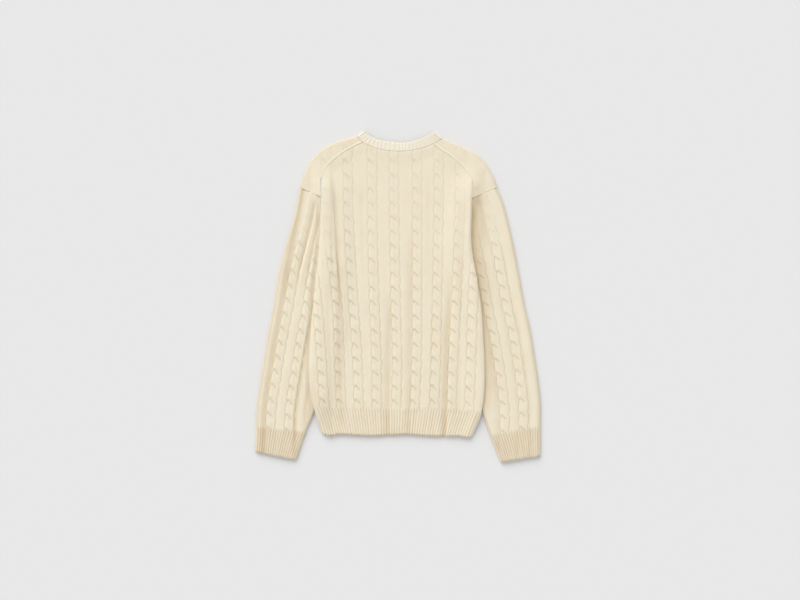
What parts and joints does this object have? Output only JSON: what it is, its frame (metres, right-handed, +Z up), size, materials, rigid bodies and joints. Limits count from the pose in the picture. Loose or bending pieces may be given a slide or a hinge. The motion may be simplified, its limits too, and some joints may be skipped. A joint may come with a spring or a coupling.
{
  "type": "cable knit sweater",
  "caption": "Crew-neck cable knit pullover laid flat on its front, back up, with the long sleeves beside the body and ribbed neck, cuffs and hem.",
  "frame": {"origin": "middle of the garment's footprint, on the surface that it lies on", "axes": "+X to the right as seen from above with the neck at the top, +Y from the hem toward the neck, +Z up from the surface"},
  "size_m": [0.628, 0.7214, 0.0175],
  "materials": {
    "body_knit": "soft matt cream wool, cable knit",
    "sleeve_knit": "soft matt cream wool, cable knit",
    "rib_knit": "soft matt cream wool, ribbed"
  },
  "bodies": {
    "root": {"back": "body_knit", "front": "body_knit", "sleeve_left": "sleeve_knit", "sleeve_right": "sleeve_knit", "neckband": "rib_knit"}
  },
  "joints": []
}
